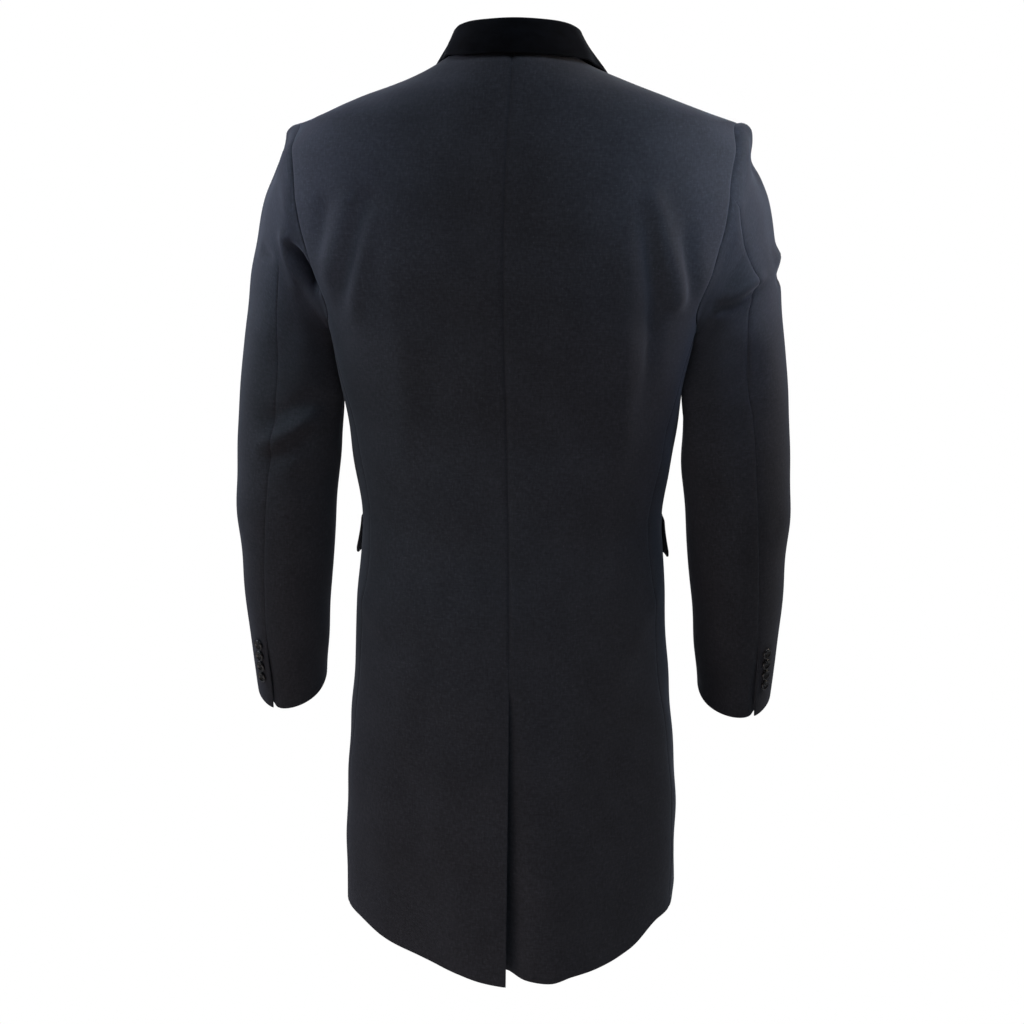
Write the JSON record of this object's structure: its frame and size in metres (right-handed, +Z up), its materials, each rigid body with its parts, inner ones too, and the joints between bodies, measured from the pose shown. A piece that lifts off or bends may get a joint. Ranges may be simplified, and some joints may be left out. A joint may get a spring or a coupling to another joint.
{
  "type": "double-breasted overcoat",
  "caption": "Thigh-length double-breasted overcoat in its worn shape: fitted hollow body with back vent, set-in sleeves with buttoned cuffs, folded velvet collar.",
  "frame": {"origin": "between the wearer's shoulders, on the coat's middle plane, level with the points where the shoulder seams meet the neck", "axes": "+Z up, +X to the wearer's left, -Y to the wearer's front"},
  "size_m": [0.605, 0.3795, 0.9755],
  "materials": {
    "wool": "dark charcoal wool cloth with a fine flecked nap",
    "velvet": "black velvet",
    "button": "dark glossy turned button"
  },
  "bodies": {
    "root": {"back_left": "wool", "back_right": "wool", "flap_left": "wool", "flap_right": "wool", "front_left": "wool", "front_right": "wool", "lapel_left": "wool", "lapel_right": "wool", "sleeve_top_left": "wool", "sleeve_top_right": "wool", "sleeve_under_left": "wool", "sleeve_under_right": "wool", "collar": "velvet", "cuff_button_left_1": "button", "cuff_button_left_2": "button", "cuff_button_left_3": "button", "cuff_button_left_4": "button", "cuff_button_right_1": "button", "cuff_button_right_2": "button", "cuff_button_right_3": "button", "cuff_button_right_4": "button", "front_button_left_1": "button", "front_button_left_2": "button", "front_button_left_3": "button", "front_button_right_1": "button", "front_button_right_2": "button", "front_button_right_3": "button"}
  },
  "joints": []
}
